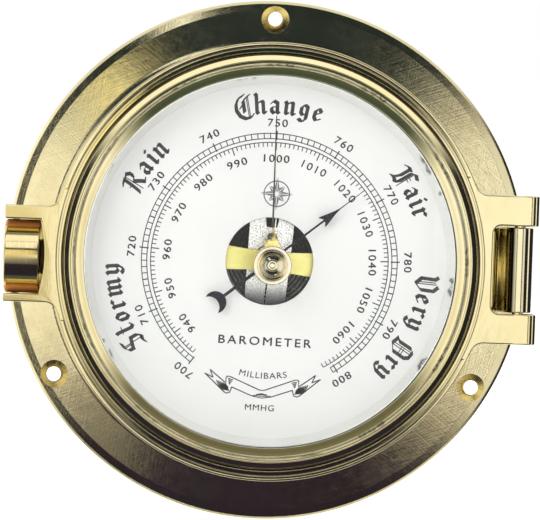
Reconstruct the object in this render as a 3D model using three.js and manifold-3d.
// A brass marine aneroid barometer in a porthole case: a flanged drum screwed to a bulkhead, a dial and an aneroid
// movement inside it, and a glazed bezel that swings on a hinge at the right and is held by a thumbscrew at the left.
//
// Millimetres, +Z up, +X to the right of someone reading the dial, who looks along +Y. The origin is the centre of the
// flange's back face, which lies against the bulkhead. "out" is the distance from the bulkhead towards the reader, -Y.
import * as THREE from "three";
import { mergeVertices } from "three/addons/utils/BufferGeometryUtils.js";
import Module from "manifold-3d";

const wasm = await Module();
wasm.setup();

// Driving dimensions
const FLANGE_R = 75;
const FLANGE_SLOPE = 5; // degrees that the flange's front face falls towards its edge
const DRUM_R = 57.5; // outside of the case drum
const ROOT_R = 7; // fillet between the flange and the drum
const DRUM_BORE_R = 53.9;
const DRUM_OUT = 32.2; // front rim of the drum
const BEZEL_R = 60.6;
const BEZEL_BACK = 33; // back face of the bezel
const LUG_OUT = 38.4; // front plane of the bezel's lug and hinge ears
const SCREW_CIRCLE_R = 69.8; // wall screw holes
const PLATE_BACK = 6; // back of the movement plate
const PLATE_OUT = 7.5; // front of the movement plate
const DIAL_BACK = 25;
const DIAL_OUT = 25.8;
const DIAL_HOLE_R = 12.3;
const GLASS_BACK = 34.6;
const GLASS_OUT = 36.6;
const SET_HAND_X = 0.4; // the set hand's axis, which is the middle of the hole in the glass
const SET_HAND_Z = -1;
const KNOB_R = 5.4; // knob that turns the set hand
const MOVEMENT_TURN = 3.5; // degrees clockwise that the movement sits from upright
const POINTER_TURN = 51.2; // degrees clockwise from upright at which the pointer rests
const GAP = 0.3; // between pieces that bear on a curved neighbour

const HINGE_X = 69.1; // hinge pin axis
const HINGE_OUT = 33.9;
const HINGE_PIN_R = 1.5;
const BARREL_R = 3.7;
const EAR_TOP = 20.6; // half height over both hinge ears
const EAR_GAP = 12.2; // half height of the slot between them
const EAR_X = 74; // outer edge of the ears
const EAR_SLOT_X = 61.2; // inner end of the slot between them

const CATCH_OUT = 29.4; // thumbscrew axis
const CATCH_Z = -0.8;
const CATCH_R = 10;
const CATCH_END_X = 73.6; // the lug and the thumbscrew end here, on the left
const LUG_TOP = 13.3; // half height of the lug
const CATCH_SLOT = 10.4; // half height of the slot in it
const WEB_X = 62.5; // middle of the web's outer face, on the left

const HUGE = 48; // number of sides of the large rings
const MEDIUM = 28;
const SMALL = 12;

const UP = new THREE.Euler(-Math.PI / 2, 0, 0); // turns "out" to +Z
const LEFT = new THREE.Euler(0, 0, -Math.PI / 2); // turns "out" to -X
const RIGHT = new THREE.Euler(0, 0, Math.PI / 2); // turns "out" to +X
const BACK = new THREE.Euler(0, 0, Math.PI); // turns "out" to +Y

const material = (color, roughness, metalness) =>
  new THREE.MeshStandardMaterial({ color, roughness, metalness });
const brass = material(0xc9a24a, 0.22, 1);
const plainBrass = material(0xd8c25e, 0.35, 1);
const steel = material(0xc9c9c4, 0.35, 1);
const nickel = material(0xdddcd6, 0.12, 1);
const darkSteel = material(0x23252b, 0.4, 0.8);
const enamel = material(0xf3f2ee, 0.5, 0);
const rubber = material(0x1b1b1b, 0.8, 0);
const fibre = material(0x5a4630, 0.8, 0);
const glass = material(0xe8f0ee, 0.03, 0);
glass.transparent = true;
glass.opacity = 0.2;

const radians = THREE.MathUtils.degToRad;

// --- Solids ---------------------------------------------------------------------------------------------------------

// A closed geometry as a manifold-3d solid with its faces pointing out.
function solidOf(geometry) {
  const loose = geometry.index ? geometry.toNonIndexed() : geometry;
  const bare = new THREE.BufferGeometry().setAttribute("position", loose.getAttribute("position"));
  const merged = mergeVertices(bare, 1e-4);
  const corners = merged.index.array;
  const outward = [];
  const inward = [];
  for (let i = 0; i < corners.length; i += 3) {
    const [a, b, c] = corners.subarray(i, i + 3);
    if (a === b || b === c || c === a) continue;
    outward.push(a, b, c);
    inward.push(a, c, b);
  }
  const vertProperties = merged.getAttribute("position").array;
  const build = (corner) =>
    new wasm.Manifold(new wasm.Mesh({ numProp: 3, vertProperties, triVerts: new Uint32Array(corner) }));
  const made = build(outward);
  return made.volume() < 0 ? build(inward) : made;
}

function geometryOf(solid) {
  const mesh = solid.getMesh();
  const geometry = new THREE.BufferGeometry()
    .setAttribute("position", new THREE.BufferAttribute(mesh.vertProperties, 3))
    .setIndex(new THREE.BufferAttribute(mesh.triVerts, 1));
  geometry.computeVertexNormals();
  return geometry;
}

const joined = (first, ...others) =>
  geometryOf(others.reduce((whole, other) => whole.add(solidOf(other)), solidOf(first)));
const cutBy = (body, ...tools) =>
  geometryOf(tools.reduce((rest, tool) => rest.subtract(solidOf(tool)), solidOf(body)));

// A body of revolution about the dial's axis. The profile is a list of [radius, out]: a closed ring, or a solid whose
// first and last points are on the axis.
function turned(profile, sides = SMALL) {
  const points = profile.map(([r, out]) => new THREE.Vector2(r, -out));
  if (profile[0][0] > 0) points.push(points[0].clone());
  return geometryOf(solidOf(new THREE.LatheGeometry(points, sides)));
}

const disc = (r, from, to, sides) => turned([[0, from], [r, from], [r, to], [0, to]], sides);
const washer = (inner, outer, from, to, sides) =>
  turned([[inner, from], [outer, from], [outer, to], [inner, to]], sides);

// The same geometry turned and moved: x and z across the dial, out towards the reader.
function placed(geometry, { x = 0, out = 0, z = 0, turn } = {}) {
  const moved = geometry.clone();
  if (turn) moved.applyMatrix4(new THREE.Matrix4().makeRotationFromEuler(turn));
  return moved.translate(x, -out, z);
}

// A box between two corners given as [x, out, z].
function block([x0, out0, z0], [x1, out1, z1]) {
  const box = new THREE.BoxGeometry(Math.abs(x1 - x0), Math.abs(out1 - out0), Math.abs(z1 - z0));
  return box.translate((x0 + x1) / 2, -(out0 + out1) / 2, (z0 + z1) / 2);
}

// A flat plate parallel to the dial: shape is drawn as x and z, and runs from one distance out to another.
function plate(shape, from, to, curveSegments = 4) {
  const made = new THREE.ExtrudeGeometry(shape, { depth: to - from, bevelEnabled: false, curveSegments });
  return made.rotateX(Math.PI / 2).translate(0, -from, 0);
}

// A bar that keeps one section from z = low to z = high: the section is drawn as x and -out.
function bar(section, low, high, curveSegments = 6) {
  const made = new THREE.ExtrudeGeometry(section, { depth: high - low, bevelEnabled: false, curveSegments });
  return made.translate(0, 0, low);
}

function polygon(points) {
  return new THREE.Shape(points.map(([x, y]) => new THREE.Vector2(x, y)));
}

const group = new THREE.Group();

function piece(name, geometry, look, { x = 0, out = 0, z = 0, turn } = {}) {
  const mesh = new THREE.Mesh(geometry, look);
  mesh.name = name;
  mesh.position.set(x, -out, z);
  if (turn) mesh.rotation.copy(turn);
  group.add(mesh);
  return mesh;
}

// A slotted screw: head from out = 0 to its height, shank behind it.
function screw(headR, headHeight, shankR, shankLength) {
  const body = turned([
    [0, -shankLength], [shankR, -shankLength], [shankR, 0], [headR, 0],
    [headR, headHeight * 0.6], [headR * 0.8, headHeight], [0, headHeight],
  ], SMALL);
  const slot = block([-headR - 1, headHeight * 0.55, -headR * 0.13], [headR + 1, headHeight + 1, headR * 0.13]);
  return cutBy(body, slot);
}

// The point at a distance from the dial's axis and a number of degrees clockwise from the top.
const polar = (r, degrees) => ({ x: r * Math.sin(radians(degrees)), z: r * Math.cos(radians(degrees)) });
const THIRDS = [0, 120, 240];
const COUNT = ["first", "second", "third"];
const ADJUSTER = polar(26, 180 + MOVEMENT_TURN); // the adjusting screw, at the foot of the main spring
const BOSS_X = 58.1; // end of the boss that the thumbscrew presses on

// --- Case -----------------------------------------------------------------------------------------------------------

const COVER_T = 1.8; // the cover lies flush with the flange's back face
const COVER_R = 52.4;
const COVER_SCREW_R = 50;
const LEDGE_R = 48;
const PLATE_SCREW_R = 51;

// The flange's sloping front face and the fillet that runs up into the drum.
function flangeFace() {
  const [edgeR, edgeOut] = [FLANGE_R - 3.5, 3.1];
  const slope = radians(FLANGE_SLOPE);
  const centreR = DRUM_R + ROOT_R;
  const footR = centreR - ROOT_R * Math.sin(slope);
  const centreOut = edgeOut + (edgeR - footR) * Math.tan(slope) + ROOT_R * Math.cos(slope);
  const points = [[edgeR, edgeOut]];
  const steps = 5;
  for (let i = 0; i <= steps; i++) {
    const angle = THREE.MathUtils.lerp(slope, Math.PI / 2, i / steps);
    points.push([centreR - ROOT_R * Math.sin(angle), centreOut - ROOT_R * Math.cos(angle)]);
  }
  return points;
}

function caseBody() {
  const shell = turned([
    [COVER_R + GAP, 0], [FLANGE_R - 0.8, 0], [FLANGE_R, 0.8], [FLANGE_R - 0.4, 1.7], [FLANGE_R - 1.5, 2.5],
    ...flangeFace(), [DRUM_R, DRUM_OUT - 0.4],
    [DRUM_R - 0.4, DRUM_OUT], [DRUM_BORE_R, DRUM_OUT], [DRUM_BORE_R, PLATE_BACK], [LEDGE_R, PLATE_BACK],
    [LEDGE_R, COVER_T + 0.1], [COVER_R + GAP, COVER_T + 0.1],
  ], HUGE);
  const boss = placed(disc(2.6, 55.5, BOSS_X, SMALL), { turn: LEFT, out: CATCH_OUT, z: CATCH_Z });
  const wallHole = turned([[0, -1], [2.1, -1], [2.1, 1.2], [4.3, 3.6], [4.3, 9], [0, 9]], 16);
  const wallHoles = THIRDS.map((a) => placed(wallHole, polar(SCREW_CIRCLE_R, a)));
  const coverHoles = THIRDS.map((a) => placed(disc(1.2, -1, 5.4, 10), polar(COVER_SCREW_R, a + 60)));
  const plateHoles = THIRDS.map((a) => placed(disc(1.1, 3.4, 9, 10), polar(PLATE_SCREW_R, a + 30)));
  const hingeHoles = [-7, 7].map((z) => placed(disc(1.5, 50, 62, 10), { turn: RIGHT, out: 15, z }));
  return cutBy(joined(shell, boss), ...wallHoles, ...coverHoles, ...plateHoles, ...hingeHoles);
}

function backCover() {
  const sunk = turned([[0, -1], [2.6, -1], [2.6, 0.2], [1.3, 1.5], [1.3, 4], [0, 4]], SMALL);
  const holes = [
    placed(disc(3.6, -1, 4, MEDIUM), ADJUSTER),
    ...THIRDS.map((a) => placed(sunk, polar(COVER_SCREW_R, a + 60))),
    ...THIRDS.map((a) => placed(disc(1.5, -1, 4, 10), polar(20, a + 60))),
  ];
  return cutBy(disc(COVER_R, 0, COVER_T, HUGE), ...holes);
}

// A countersunk screw with its slotted head flush at out = 0 and its shank in front of it.
function coverScrew() {
  const body = turned([[0, 0], [2.2, 0], [2.2, 0.2], [1, 1.4], [1, 5], [0, 5]], SMALL);
  return cutBy(body, block([-3, -1, -0.25], [3, 0.5, 0.25]));
}

piece("case_body", caseBody(), brass);
piece("back_cover", backCover(), plainBrass);
THIRDS.forEach((a, i) =>
  piece(`cover_screw_${COUNT[i]}`, coverScrew(), steel, polar(COVER_SCREW_R, a + 60)));
piece("door_gasket", washer(54.6, 56.6, DRUM_OUT, DRUM_OUT + 0.5, MEDIUM), rubber);

// --- Hinge ----------------------------------------------------------------------------------------------------------

const FOOT_X = 61; // outside of the bracket's foot, which is screwed to the drum
const BRACKET_TOP = EAR_GAP - 0.4;

function hingeBracket() {
  const section = new THREE.Shape();
  section.moveTo(56, -11);
  section.lineTo(FOOT_X, -11);
  section.lineTo(FOOT_X, -20);
  section.quadraticCurveTo(FOOT_X, -26, HINGE_X + BARREL_R * Math.SQRT1_2, -HINGE_OUT + BARREL_R * Math.SQRT1_2);
  section.absarc(HINGE_X, -HINGE_OUT, BARREL_R, Math.PI / 4, (-Math.PI * 9) / 8, true);
  section.quadraticCurveTo(61.5, -30, 56, -29.5);
  const body = bar(section, -BRACKET_TOP, BRACKET_TOP, 8);
  const pinHole = placed(disc(HINGE_PIN_R + 0.15, -30, 30, 24), { x: HINGE_X, out: HINGE_OUT, turn: UP });
  const screwHoles = [-7, 7].map((z) => placed(disc(1.5, 50, 65, 10), { turn: RIGHT, out: 15, z }));
  return cutBy(body, disc(DRUM_R + GAP, 0, 40, HUGE), pinHole, ...screwHoles);
}

piece("hinge_bracket", hingeBracket(), brass);
[["upper", 7], ["lower", -7]].forEach(([where, z]) =>
  piece(`hinge_screw_${where}`, screw(2.6, 1.2, 1.3, 6.6), brass, { x: FOOT_X, out: 15, z, turn: RIGHT }));
piece("hinge_pin", turned([
  [0, -EAR_TOP + 0.2], [HINGE_PIN_R - 0.3, -EAR_TOP + 0.2], [HINGE_PIN_R, -EAR_TOP + 0.5],
  [HINGE_PIN_R, EAR_TOP - 0.5], [HINGE_PIN_R - 0.3, EAR_TOP - 0.2], [0, EAR_TOP - 0.2],
], 24), brass, { x: HINGE_X, out: HINGE_OUT, turn: UP });

// --- Bezel ----------------------------------------------------------------------------------------------------------

const LIP_R = 51.6; // the clear opening in front of the glass

function bezelRing() {
  return turned([
    [54.2, BEZEL_BACK], [BEZEL_R - 0.4, BEZEL_BACK], [BEZEL_R, BEZEL_BACK + 0.4], [BEZEL_R, LUG_OUT - 0.5],
    [BEZEL_R - 0.5, LUG_OUT], [59.2, LUG_OUT], [58.9, 40.3], [57.9, 40.7], [57.1, 40],
    [56.5, 41.3], [55.5, 42], [54.5, 41.4], [53.6, 39.2], [LIP_R, 37.4], [LIP_R, GLASS_OUT], [54.2, GLASS_OUT],
  ], HUGE);
}

// Plan of a lug that grows out of the ring: from inside the ring to x = reach, with a fillet at top and bottom.
function lugPlan(reach, half, side) {
  const ringX = Math.sqrt(BEZEL_R ** 2 - half ** 2);
  const landing = half + 4.6; // height at which the fillet runs into the ring
  const landingX = Math.sqrt((BEZEL_R - 0.3) ** 2 - landing ** 2);
  const shape = new THREE.Shape();
  shape.moveTo(side * (landingX - 3), landing);
  shape.lineTo(side * landingX, landing);
  shape.quadraticCurveTo(side * (ringX + 0.4), half, side * (ringX + 4.4), half);
  shape.lineTo(side * reach, half);
  shape.lineTo(side * reach, -half);
  shape.lineTo(side * (ringX + 4.4), -half);
  shape.quadraticCurveTo(side * (ringX + 0.4), -half, side * landingX, -landing);
  shape.lineTo(side * (landingX - 3), -landing);
  return shape;
}

function catchLug() {
  const plan = plate(lugPlan(CATCH_END_X - 0.1, LUG_TOP, -1), BEZEL_BACK, LUG_OUT);
  const deep = block([-BOSS_X - 0.5, 21, -LUG_TOP], [-CATCH_END_X + 0.1, LUG_OUT, LUG_TOP]);
  return joined(plan, deep);
}

// Plan of the slot for the thumbscrew: open at the left, and hollowed at its inner end.
function catchSlot() {
  const hollow = 1.5;
  const r = (CATCH_SLOT ** 2 + hollow ** 2) / (2 * hollow);
  const half = Math.asin(CATCH_SLOT / r);
  const shape = new THREE.Shape();
  shape.moveTo(-80, CATCH_SLOT);
  shape.lineTo(-80, -CATCH_SLOT);
  shape.absarc(-WEB_X - r, 0, r, -half, half, false);
  return placed(plate(shape, 10, 45, 10), { z: CATCH_Z });
}

function hingeEars() {
  const plan = plate(lugPlan(70, EAR_TOP, 1), BEZEL_BACK, LUG_OUT);
  const [x0, x1, low, high, r] = [65.2, EAR_X, -LUG_OUT, -HINGE_OUT + 4.6, 2];
  const section = new THREE.Shape();
  section.moveTo(x0, low);
  section.lineTo(x1 - r, low);
  section.absarc(x1 - r, low + r, r, -Math.PI / 2, 0, false);
  section.absarc(x1 - r, high - r, r, 0, Math.PI / 2, false);
  section.lineTo(x0, high);
  return joined(plan, bar(section, -EAR_TOP, EAR_TOP));
}

function bezel() {
  const slotR = 2.2;
  const earSlot = new THREE.Shape();
  earSlot.moveTo(80, -EAR_GAP);
  earSlot.lineTo(80, EAR_GAP);
  earSlot.absarc(EAR_SLOT_X + slotR, EAR_GAP - slotR, slotR, Math.PI / 2, Math.PI, false);
  earSlot.absarc(EAR_SLOT_X + slotR, -EAR_GAP + slotR, slotR, Math.PI, Math.PI * 1.5, false);
  const catchHole = placed(disc(2.3, 55, 70, SMALL), { turn: LEFT, out: CATCH_OUT, z: CATCH_Z });
  const pinHole = placed(disc(HINGE_PIN_R + 0.15, -30, 30, 24), { x: HINGE_X, out: HINGE_OUT, turn: UP });
  const bore = disc(54.2, 30, GLASS_OUT, HUGE); // keeps the lugs out of the glass seat
  const lugs = cutBy(joined(catchLug(), bezelRing(), hingeEars()), bore);
  return cutBy(lugs, plate(earSlot, 20, 45), catchSlot(), catchHole, pinHole);
}

piece("bezel", bezel(), brass);
const setHandPlace = { x: SET_HAND_X, z: SET_HAND_Z };
piece("glass", cutBy(
  disc(53.9, GLASS_BACK, GLASS_OUT, HUGE), placed(disc(1.6, GLASS_BACK - 1, GLASS_OUT + 1, 16), setHandPlace),
), glass);
piece("glass_seal", washer(52.7, 53.9, 34, GLASS_BACK, MEDIUM), rubber);
piece("glass_retaining_ring", washer(52.4, 53.9, 33.1, 34, MEDIUM), brass);

// The thumbscrew's stem is threaded through the lug's web, and its tip presses on the boss on the drum.
const catchPlace = { out: CATCH_OUT, z: CATCH_Z, turn: LEFT };
const CATCH_FACE_X = 64.2; // inner face of the thumbscrew's head
piece("catch_washer", washer(2.3, 5.2, CATCH_FACE_X - 1.1, CATCH_FACE_X - 0.1, 20), fibre, catchPlace);
piece("catch_screw", turned([
  [0, BOSS_X + 0.4], [1.4, BOSS_X + 0.4], [2, BOSS_X + 1], [2, CATCH_FACE_X], [CATCH_R - 0.4, CATCH_FACE_X],
  [CATCH_R, CATCH_FACE_X + 0.4], [CATCH_R, CATCH_END_X - 0.5], [CATCH_R - 0.5, CATCH_END_X], [0, CATCH_END_X],
], 36), brass, catchPlace);

// --- Set hand -------------------------------------------------------------------------------------------------------

const SET_HAND_OUT = 31.7;

function setHand() {
  const blade = polygon([
    [-2.3, 1.9], [-2.2, 4.6], [-1.2, 8.7], [-0.28, 9.1], [-0.14, 41.6],
    [0.14, 41.6], [0.28, 9.1], [1.2, 8.7], [2.2, 4.6], [2.3, 1.9],
  ]);
  return cutBy(
    joined(disc(2.9, SET_HAND_OUT, SET_HAND_OUT + 0.4, 24), plate(blade, SET_HAND_OUT, SET_HAND_OUT + 0.4)),
    disc(1.4, 30, 34, SMALL),
  );
}

piece("set_knob", turned([
  [0, 31.4], [1.2, 31.4], [1.2, GLASS_OUT + 0.3], [KNOB_R - 0.4, GLASS_OUT + 0.3], [KNOB_R, 37.4], [KNOB_R, 41.4],
  [KNOB_R - 0.3, 41.8], [KNOB_R - 0.8, 41.6], [3.8, 40.5], [2.9, 40.7], [1.9, 41.3], [0.9, 41.3], [0.6, 40.6],
  [0, 40.6],
], 28), brass, setHandPlace);
piece("set_bush", washer(1.35, 2.6, SET_HAND_OUT + 0.6, GLASS_BACK - GAP, 20), plainBrass, setHandPlace);
piece("set_hand", setHand(), plainBrass, setHandPlace);

// --- Dial -----------------------------------------------------------------------------------------------------------

const PILLAR_R = 44;

piece("sight_ring", turned([
  [49.6, DIAL_OUT], [53.6, DIAL_OUT], [53.6, 32], [51.6, 32], [51.2, 31.7],
], HUGE), nickel);
piece("dial", washer(DIAL_HOLE_R, 53.5, DIAL_BACK, DIAL_OUT, HUGE), enamel);
THIRDS.forEach((a, i) =>
  piece(`dial_pillar_${COUNT[i]}`, disc(2, PLATE_OUT, DIAL_BACK, 12), plainBrass, polar(PILLAR_R, a + 60)));

// --- Movement -------------------------------------------------------------------------------------------------------

const FOOT_OUT = 16.3; // top of the main spring's foot
const FOOT_Z = -26;
const SPRING_OUT = FOOT_OUT + 0.1; // back of the main spring's leaf
const SPRING_T = 0.8;
const REAR_BRIDGE_OUT = 18.3;
const REAR_BRIDGE_T = 0.5;
const BRIDGE_OUT = 20.5;
const BRIDGE_T = 1.2;
const BRIDGE_FOOT_X = 19; // the bridge's pillars stand here, either side
const BRIDGE_REACH = 22;
const BRIDGE_END_HALF = 4.2; // half the bow's height at its ends
const BRIDGE_WAIST_X = 4.8;
const BRIDGE_WAIST_HALF = 2.85; // half the bow's height beside its hub
const CHAIN_OUT = 19.6;
const HAIRSPRING_OUT = 19.05;
const ROCKER_Z = 26;
const ROCKER_OUT = 9.6;
const LINK_Z = 22.4;
const CHAIN_X = 0.9; // the chain leaves the drum on this side
const movementTurn = new THREE.Euler(0, radians(MOVEMENT_TURN), 0);

function movementPlate() {
  const holes = [
    placed(disc(1.8, 0, 20, SMALL), ADJUSTER),
    ...THIRDS.map((a) => placed(disc(1.1, 0, 20, 10), polar(PLATE_SCREW_R, a + 30))),
  ];
  return cutBy(disc(53.5, PLATE_BACK, PLATE_OUT, HUGE), ...holes);
}

piece("movement_plate", movementPlate(), plainBrass);
THIRDS.forEach((a, i) =>
  piece(`movement_screw_${COUNT[i]}`, screw(2, 1, 0.95, 3.6), steel,
    { ...polar(PLATE_SCREW_R, a + 30), out: PLATE_OUT }));

// The capsule is two corrugated discs soldered at the rim. Its centre is drawn out by the main spring.
const CAPSULE_R = 16.6;
const CAPSULE_SEAM = 11.4; // front of the back disc's rim
const CAPSULE_PLAY = 0.35; // room for the front disc to be pressed in

function capsuleFront() {
  const waves = 6;
  const crest = 13.9;
  const rim = CAPSULE_SEAM + CAPSULE_PLAY;
  const profile = [[CAPSULE_R, rim], [CAPSULE_R, rim + 0.6]];
  for (let i = 0; i <= waves * 2; i++) {
    const r = THREE.MathUtils.lerp(CAPSULE_R - 1.4, 4.2, i / (waves * 2));
    profile.push([r, i % 2 ? crest - 0.7 : crest]);
  }
  profile.push([2.4, crest], [2.4, rim + 1.3], [CAPSULE_R - 2.6, rim]);
  return turned(profile, MEDIUM);
}

function capsuleBack() {
  return turned([
    [1.9, 9], [4.5, 9], [6, 9.6], [CAPSULE_R - 1.6, 9.6], [CAPSULE_R, CAPSULE_SEAM - 0.8],
    [CAPSULE_R, CAPSULE_SEAM], [CAPSULE_R - 2.6, CAPSULE_SEAM], [CAPSULE_R - 3.4, 10.4], [1.9, 10.4],
  ], MEDIUM);
}

piece("capsule_stud", washer(1.9, 4.5, PLATE_OUT, 9, SMALL), plainBrass);
piece("capsule_rivet", turned([
  [0, 4.6], [3, 4.6], [3.4, 5.2], [3.4, 6], [0, 6],
], SMALL), plainBrass);
piece("capsule_back", capsuleBack(), darkSteel);
piece("capsule_front", capsuleFront(), darkSteel);
piece("capsule_post", turned([[0, 12.4], [2, 12.4], [2, 15.6], [1.2, 15.6], [1.2, 17.5], [0, 17.5]], SMALL), steel);
piece("adjusting_screw", screw(3, 1.3, 1.5, 6.5), steel, { ...ADJUSTER, out: PLATE_BACK - 0.1, turn: BACK });

// Everything that stands on the plate shares the movement's small turn.
const movement = new THREE.Group();
movement.rotation.copy(movementTurn);
group.add(movement);

function movementPiece(name, geometry, look, place) {
  const mesh = piece(name, geometry, look, place);
  movement.add(mesh);
  return mesh;
}

function mainSpring() {
  const leaf = polygon([
    [-5.4, -29], [5.4, -29], [6.6, 21], [2.6, 21], [1.4, 9.6], [-1.4, 9.6], [-2.6, 21], [-6.6, 21],
  ]);
  const screwHoles = [-3, 3].map((x) => placed(disc(1.2, 10, 20, 10), { x, z: FOOT_Z }));
  return cutBy(plate(leaf, SPRING_OUT, SPRING_OUT + SPRING_T), disc(1.6, 10, 20, SMALL), ...screwHoles);
}

function springFoot() {
  const screwHoles = [-3, 3].map((x) => placed(disc(1.2, 13, 20, 10), { x, z: FOOT_Z }));
  const adjusterHole = placed(disc(1.7, 5, 12.8, 10), { z: FOOT_Z });
  return cutBy(block([-7, PLATE_OUT, FOOT_Z - 3], [7, FOOT_OUT, FOOT_Z + 3]), ...screwHoles, adjusterHole);
}

function springYoke() {
  const holes = [-4.6, 4.6].map((x) => placed(disc(0.7, 10, 25, 10), { x, z: 19.4 }));
  const barPart = block([-6.4, SPRING_OUT + SPRING_T, 17.8], [6.4, SPRING_OUT + SPRING_T + 0.8, 21]);
  const tongue = block([-1.2, SPRING_OUT + SPRING_T, 20.9], [1.2, SPRING_OUT + SPRING_T + 0.8, 23.4]);
  return cutBy(joined(barPart, tongue), ...holes, placed(disc(0.5, 10, 25, 10), { z: LINK_Z }));
}

movementPiece("spring_foot", springFoot(), plainBrass);
movementPiece("main_spring", mainSpring(), steel);
[["left", -3], ["right", 3]].forEach(([where, x]) =>
  movementPiece(`spring_screw_${where}`, screw(1.9, 1, 0.95, 3.6), steel,
    { x, z: FOOT_Z, out: SPRING_OUT + SPRING_T + 0.1 }));
movementPiece("spring_yoke", springYoke(), plainBrass);

// The link hangs from the yoke's tongue and turns the rocking shaft by its crank.
movementPiece("link", turned([
  [0, ROCKER_OUT + 0.8], [0.35, ROCKER_OUT + 0.8], [0.35, 18.1], [0.64, 18.1], [0.64, 18.7], [0, 18.7],
], 10), steel, { z: LINK_Z });

function rockerShaft() {
  const shaft = placed(disc(0.8, -13, 13, 12), { turn: RIGHT, out: ROCKER_OUT, z: ROCKER_Z });
  const crank = block([-0.7, ROCKER_OUT - 0.5, LINK_Z - 0.8], [0.7, ROCKER_OUT + 0.5, ROCKER_Z]);
  return joined(shaft, crank);
}

const rockerBore = () => placed(disc(0.95, -20, 20, 12), { turn: RIGHT, out: ROCKER_OUT, z: ROCKER_Z });

function rockerArm() {
  const hub = placed(washer(0.8, 1.9, 2, 4.2, 12), { turn: RIGHT, out: ROCKER_OUT, z: ROCKER_Z });
  const arm = block([2.2, ROCKER_OUT + 1.2, ROCKER_Z - 0.6], [3.2, CHAIN_OUT + 0.9, ROCKER_Z + 0.6]);
  const hook = block([CHAIN_X - 0.4, CHAIN_OUT - 0.4, ROCKER_Z - 0.4], [3.2, CHAIN_OUT + 0.4, ROCKER_Z + 0.4]);
  return cutBy(joined(hub, arm, hook), rockerBore());
}

function counterweight() {
  const hub = placed(washer(0.8, 1.9, 6, 8.2, 12), { turn: RIGHT, out: ROCKER_OUT, z: ROCKER_Z });
  const slope = new THREE.Euler(-radians(60), 0, 0); // up, and towards the reader by 30 degrees
  const rod = placed(disc(0.5, 1, 8, 8), { turn: slope, x: 7.1, out: ROCKER_OUT, z: ROCKER_Z });
  const weight = placed(disc(2, 7, 11, SMALL), { turn: slope, x: 7.1, out: ROCKER_OUT, z: ROCKER_Z });
  return cutBy(joined(hub, rod, weight), rockerBore());
}

function rockerPost() {
  const post = block([-1.2, PLATE_OUT, ROCKER_Z - 2.2], [1.2, ROCKER_OUT + 2.4, ROCKER_Z + 2.2]);
  return cutBy(post, placed(disc(1, -20, 20, 12), { turn: RIGHT, out: ROCKER_OUT, z: ROCKER_Z }));
}

movementPiece("rocker_shaft", rockerShaft(), steel);
movementPiece("rocker_arm", rockerArm(), plainBrass);
movementPiece("counterweight", counterweight(), plainBrass);
movementPiece("rocker_post_left", rockerPost(), plainBrass, { x: -11 });
movementPiece("rocker_post_right", rockerPost(), plainBrass, { x: 11 });
movementPiece("chain", block(
  [CHAIN_X - 0.15, CHAIN_OUT - 0.3, -1.4], [CHAIN_X + 0.15, CHAIN_OUT + 0.3, ROCKER_Z - 1],
), steel);

// The pointer's arbor runs in two bridges, with the chain's drum and the hairspring between them.
function bridge() {
  const bow = polygon([
    [-BRIDGE_REACH, BRIDGE_END_HALF], [-BRIDGE_WAIST_X, BRIDGE_WAIST_HALF], [BRIDGE_WAIST_X, BRIDGE_WAIST_HALF],
    [BRIDGE_REACH, BRIDGE_END_HALF], [BRIDGE_REACH, -BRIDGE_END_HALF], [BRIDGE_WAIST_X, -BRIDGE_WAIST_HALF],
    [-BRIDGE_WAIST_X, -BRIDGE_WAIST_HALF], [-BRIDGE_REACH, -BRIDGE_END_HALF],
  ]);
  const holes = [-BRIDGE_FOOT_X, BRIDGE_FOOT_X].map((x) => placed(disc(1.1, 10, 25, 10), { x }));
  return cutBy(
    joined(plate(bow, BRIDGE_OUT, BRIDGE_OUT + BRIDGE_T), disc(3.6, BRIDGE_OUT, BRIDGE_OUT + BRIDGE_T, 24)),
    disc(1, 10, 25, SMALL), ...holes,
  );
}

function rearBridge() {
  const strip = block([-BRIDGE_REACH, REAR_BRIDGE_OUT, -1.8], [BRIDGE_REACH, REAR_BRIDGE_OUT + REAR_BRIDGE_T, 1.8]);
  const holes = [-BRIDGE_FOOT_X, BRIDGE_FOOT_X].map((x) => placed(disc(1.1, 10, 25, 10), { x }));
  return cutBy(strip, disc(0.8, 10, 25, 12), ...holes);
}

movementPiece("rear_bridge", rearBridge(), plainBrass);
movementPiece("bridge", bridge(), plainBrass);
const bridgeSpacer = washer(1.1, 2, REAR_BRIDGE_OUT + REAR_BRIDGE_T, BRIDGE_OUT, 12);
[["left", -BRIDGE_FOOT_X], ["right", BRIDGE_FOOT_X]].forEach(([where, x]) => {
  movementPiece(`bridge_pillar_${where}`, disc(2, PLATE_OUT, REAR_BRIDGE_OUT, 12), plainBrass, { x });
  movementPiece(`bridge_spacer_${where}`, bridgeSpacer, plainBrass, { x });
  movementPiece(`bridge_screw_${where}`, screw(2, 1, 0.95, 3.2), steel, { x, out: BRIDGE_OUT + BRIDGE_T });
});

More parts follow.
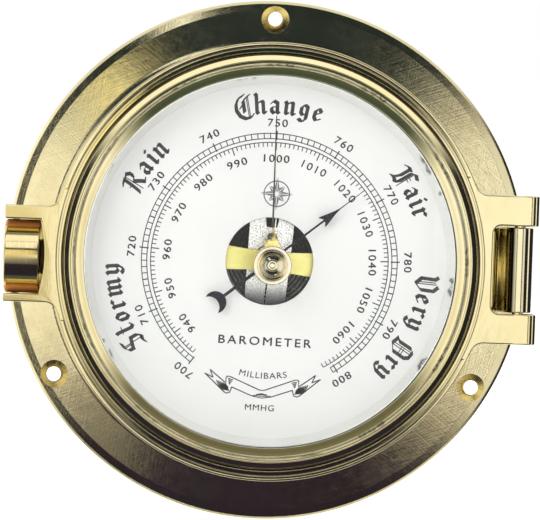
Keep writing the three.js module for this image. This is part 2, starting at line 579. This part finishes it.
function hairspring() {
  const turns = 3.5;
  const inner = 1.1;
  const outer = 4.6;
  const points = [];
  for (let i = 0; i <= turns * 12; i++) {
    const share = i / (turns * 12);
    const angle = share * turns * Math.PI * 2;
    const r = THREE.MathUtils.lerp(inner, outer, share);
    points.push(new THREE.Vector3(r * Math.cos(angle), -HAIRSPRING_OUT, r * Math.sin(angle)));
  }
  const strip = polygon([[-0.06, -0.12], [0.06, -0.12], [0.06, 0.12], [-0.06, 0.12]]);
  const path = new THREE.CatmullRomCurve3(points);
  return new THREE.ExtrudeGeometry(strip, { steps: points.length - 1, extrudePath: path, bevelEnabled: false });
}

movementPiece("hairspring", geometryOf(solidOf(hairspring())), darkSteel);
movementPiece("pointer_arbor", turned([
  [0, 18.2], [0.5, 18.2], [0.5, 19.25], [0.68, 19.25], [0.68, 20.2], [0.8, 20.2], [0.8, 27.9], [0.6, 27.9],
  [0.6, 30], [0, 30],
], 12), steel);

// --- Pointer --------------------------------------------------------------------------------------------------------

const POINTER_OUT = 28.4;
const POINTER_T = 0.5;

// An arrow towards +Z with a crescent for its tail.
function pointer() {
  const arrow = polygon([
    [-0.45, 0], [-0.35, 19.2], [-1.7, 18], [-0.45, 23.4], [-0.18, 24.2], [-0.1, 31.9],
    [0.1, 31.9], [0.18, 24.2], [0.45, 23.4], [1.7, 18], [0.35, 19.2], [0.45, 0],
  ]);
  const tail = polygon([[-0.5, 0], [-0.6, -16.6], [0.6, -16.6], [0.5, 0]]);
  const crescent = new THREE.Shape();
  crescent.absarc(0, -19, 3.1, radians(-20), radians(200), false);
  crescent.absarc(0, -20.6, 2.9, radians(169), radians(11), true);
  const level = (shape) => plate(shape, POINTER_OUT, POINTER_OUT + POINTER_T, 10);
  return cutBy(
    joined(level(arrow), level(tail), level(crescent), disc(2.2, POINTER_OUT, POINTER_OUT + POINTER_T, 20)),
    disc(0.75, 20, 35, 12),
  );
}

piece("pointer", pointer(), darkSteel, { turn: new THREE.Euler(0, radians(POINTER_TURN), 0) });
piece("pointer_collet", washer(0.75, 1.5, POINTER_OUT + POINTER_T, 29.9, 14), plainBrass);

export default group;
